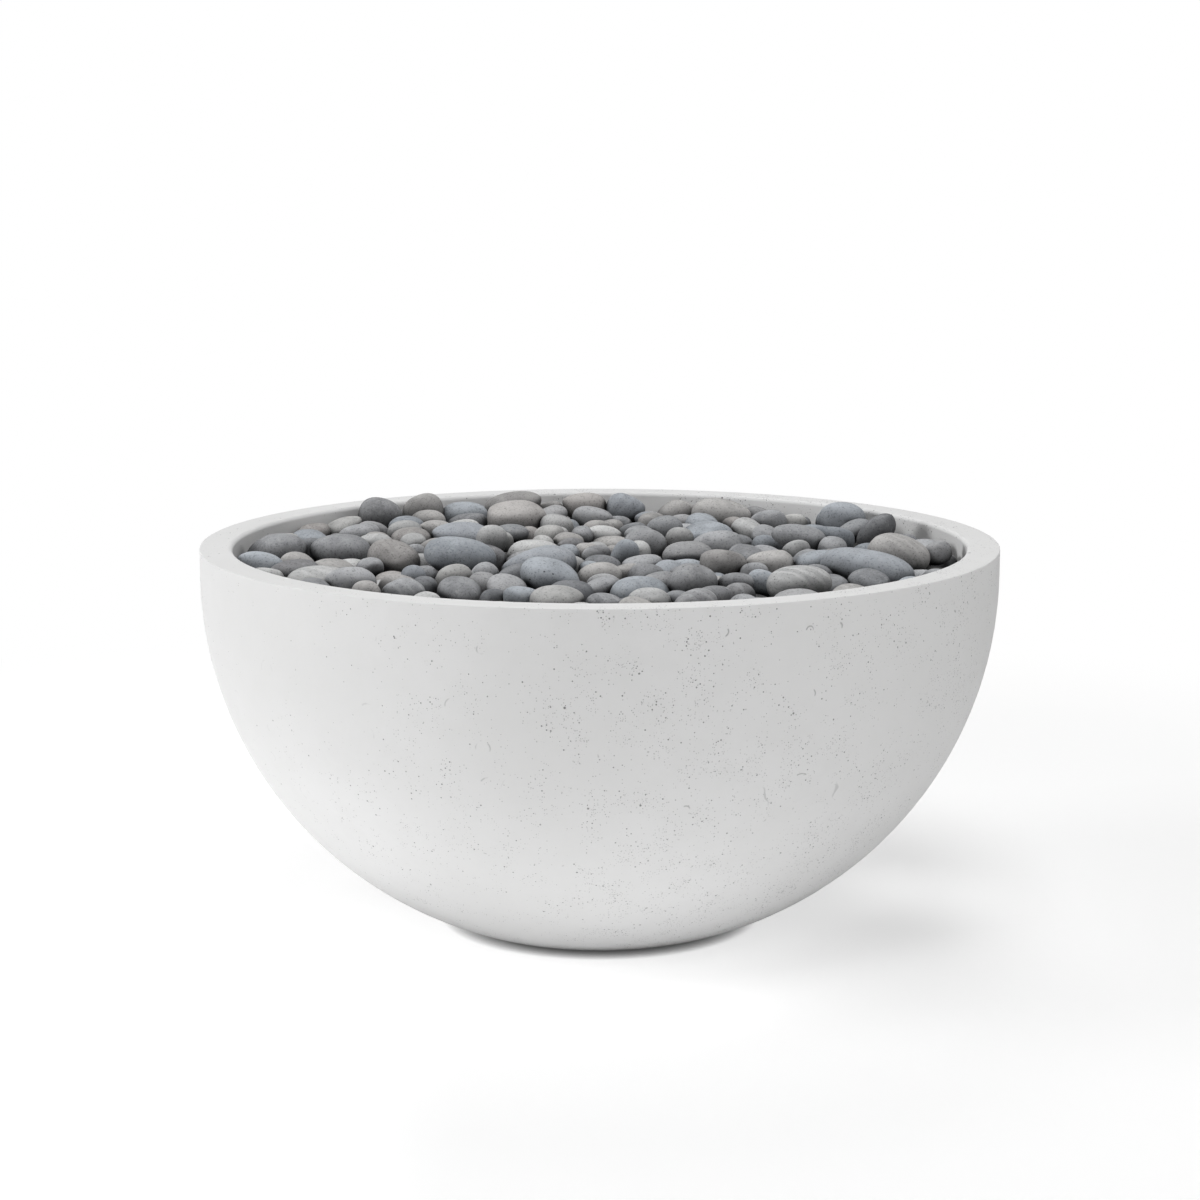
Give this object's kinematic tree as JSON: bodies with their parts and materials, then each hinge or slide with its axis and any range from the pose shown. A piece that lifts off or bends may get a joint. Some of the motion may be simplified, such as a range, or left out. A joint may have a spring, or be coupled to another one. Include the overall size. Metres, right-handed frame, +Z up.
{
  "type": "concrete gas fire pit",
  "caption": "Round cast concrete fire pit bowl filled with river stones over a double ring gas burner, with a valve knob, push button igniter and air shutter.",
  "frame": {"origin": "centre of the bowl on the ground, under its rubber pads", "axes": "+Z up, -Y towards the viewer of the picture, +Y towards the controls"},
  "size_m": [0.9399, 0.94, 0.4705],
  "materials": {
    "concrete": "matte cast, fine pinholes",
    "stone_blue": "matte, water worn",
    "stone_grey": "matte, water worn",
    "stone_warm": "matte, water worn",
    "stone_light": "matte, water worn",
    "stone_dark": "matte, water worn",
    "stone_base": "matte, water worn",
    "pad_rubber": "matte",
    "stainless": "satin",
    "plated_steel": "zinc plated",
    "brass_parts": "machined",
    "hose_cover": "smooth coated hose",
    "black_plastic": "moulded",
    "battery_case": "smooth, unmarked",
    "white_ceramic": "glazed",
    "spark_rod": "drawn wire",
    "lead_cover": "silicone covered wire",
    "copper_lead": "copper, drawn"
  },
  "bodies": {
    "fire_pit": {"bowl": "concrete", "foot_pads": "pad_rubber", "burner_pan": "stainless", "burner_ring": "stainless", "ring_clips": "stainless", "clip_screws": "plated_steel", "hub_nipple": "plated_steel", "hub_locknut": "plated_steel", "air_mixer": "plated_steel", "gas_orifice": "brass_parts", "inlet_elbow": "brass_parts", "control_panel": "stainless", "panel_inserts": "brass_parts", "panel_screws": "plated_steel", "valve_body": "brass_parts", "valve_bonnet": "brass_parts", "bonnet_screws": "plated_steel", "valve_locknut": "plated_steel", "valve_spring": "plated_steel", "outlet_fitting": "brass_parts", "inlet_fitting": "brass_parts", "burner_hose": "hose_cover", "hose_nuts": "brass_parts", "igniter_housing": "black_plastic", "igniter_battery": "battery_case", "igniter_spring": "plated_steel", "igniter_nut": "plated_steel", "igniter_bracket": "stainless", "bracket_screws": "plated_steel", "electrode_insulator": "white_ceramic", "spark_electrode": "spark_rod", "ignition_lead": "lead_cover", "thermocouple": "copper_lead", "thermocouple_nut": "brass_parts", "river_stones_base": "stone_base", "river_stones_blue": "stone_blue", "river_stones_grey": "stone_grey", "river_stones_warm": "stone_warm", "river_stones_light": "stone_light", "river_stones_dark": "stone_dark"},
    "valve_rotor": {"valve_plug": "brass_parts"},
    "knob_assembly": {"valve_stem": "plated_steel", "control_knob": "black_plastic", "knob_insert": "brass_parts"},
    "igniter_push": {"igniter_button": "black_plastic"},
    "shutter": {"air_shutter": "stainless"}
  },
  "joints": [
    {"name": "valve_turn", "type": "hinge", "parent": "fire_pit", "child": "valve_rotor", "pos_m": [0.025, 0.44902, 0.29], "axis": [0, 0.9529, -0.3034], "range_deg": [0, 180]},
    {"name": "knob_push", "type": "slide", "parent": "valve_rotor", "child": "knob_assembly", "axis": [0, -0.9529, 0.3034], "range_m": [0, 0.003], "stiffness_N_per_m": 800, "springref_m": -0.004, "deforming": ["valve_spring"]},
    {"name": "igniter_press", "type": "slide", "parent": "fire_pit", "child": "igniter_push", "axis": [0, -0.9529, 0.3034], "range_m": [0, 0.004], "stiffness_N_per_m": 500, "springref_m": -0.003, "deforming": ["igniter_spring"]},
    {"name": "air_shutter_turn", "type": "hinge", "parent": "fire_pit", "child": "shutter", "pos_m": [0, 0, 0.297], "axis": [0, 0, 1], "range_deg": [0, 60]}
  ]
}
